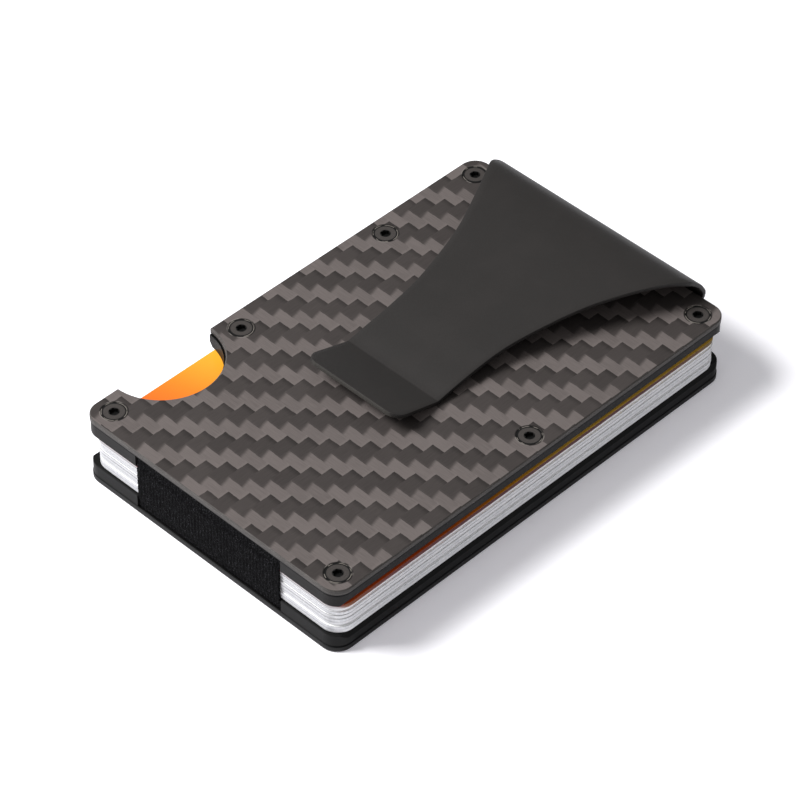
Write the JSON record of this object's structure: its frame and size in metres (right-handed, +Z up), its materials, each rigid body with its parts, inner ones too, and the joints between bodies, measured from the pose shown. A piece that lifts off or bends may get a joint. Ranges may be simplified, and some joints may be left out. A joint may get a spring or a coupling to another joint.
{
  "type": "money clip wallet",
  "caption": "Slim card holder: carbon-fibre plates on an elastic band clamp a stack of cards, with a sprung money clip on one face and a thumb notch for pushing the cards out.",
  "frame": {"origin": "centre of the underside of the bottom outer plate, on the surface the wallet lies on", "axes": "+X along the plates towards the end with the clip's roll; +Y across them towards the edge with the thumb notch; +Z up, through the stack"},
  "size_m": [0.0889, 0.0556, 0.0181],
  "materials": {
    "carbon_fibre": "satin clear-coated 2x2 twill carbon fibre",
    "inner_plate": "black anodised, fine matt",
    "screw_black": "black oxide, satin",
    "clip_metal": "matt black coated spring steel",
    "elastic_knit": "knitted elastic, fuzzy",
    "card_white": "white PVC card",
    "card_orange": "plain orange to yellow card face"
  },
  "bodies": {
    "bottom_half": {"bottom_outer_plate": "carbon_fibre", "bottom_inner_plate": "inner_plate", "bottom_screws": "screw_black", "elastic_bottom_run": "elastic_knit", "elastic_left_span": "elastic_knit", "elastic_right_span": "elastic_knit"},
    "top_half": {"top_outer_plate": "carbon_fibre", "top_inner_plate": "inner_plate", "top_screws": "screw_black", "elastic_top_run": "elastic_knit", "clip_base": "clip_metal"},
    "clip_spring": {"clip_arm": "clip_metal"},
    "card_1": {"card_1": "card_white"},
    "card_2": {"card_2": "card_white"},
    "card_3": {"card_3": "card_white"},
    "card_4": {"card_4": "card_white"},
    "card_5": {"card_5": "card_white"},
    "card_6": {"card_6": "card_white"},
    "card_7": {"card_7": "card_white"},
    "card_8": {"card_8": "card_orange"}
  },
  "joints": [
    {"name": "plate_spread", "type": "slide", "parent": "bottom_half", "child": "top_half", "axis": [0, 0, 1], "range_m": [0, 0.004], "stiffness_N_per_m": 900, "springref_m": -0.0062, "deforming": ["elastic_left_span", "elastic_right_span"]},
    {"name": "clip_flex", "type": "hinge", "parent": "top_half", "child": "clip_spring", "pos_m": [0.0448, 0, 0.0132], "axis": [0, 1, 0], "range_deg": [0, 8], "stiffness_Nm_per_rad": 0.8, "springref_deg": -5.73},
    {"name": "card_1_slide", "type": "slide", "parent": "bottom_half", "child": "card_1", "axis": [0, -1, 0], "range_m": [0, 0.03]},
    {"name": "card_2_slide", "type": "slide", "parent": "bottom_half", "child": "card_2", "axis": [0, -1, 0], "range_m": [0, 0.03]},
    {"name": "card_3_slide", "type": "slide", "parent": "bottom_half", "child": "card_3", "axis": [0, -1, 0], "range_m": [0, 0.03]},
    {"name": "card_4_slide", "type": "slide", "parent": "bottom_half", "child": "card_4", "axis": [0, -1, 0], "range_m": [0, 0.03]},
    {"name": "card_5_slide", "type": "slide", "parent": "bottom_half", "child": "card_5", "axis": [0, -1, 0], "range_m": [0, 0.03]},
    {"name": "card_6_slide", "type": "slide", "parent": "bottom_half", "child": "card_6", "axis": [0, -1, 0], "range_m": [0, 0.03]},
    {"name": "card_7_slide", "type": "slide", "parent": "bottom_half", "child": "card_7", "axis": [0, -1, 0], "range_m": [0, 0.03]},
    {"name": "card_8_slide", "type": "slide", "parent": "bottom_half", "child": "card_8", "axis": [0, -1, 0], "range_m": [0, 0.03]}
  ]
}
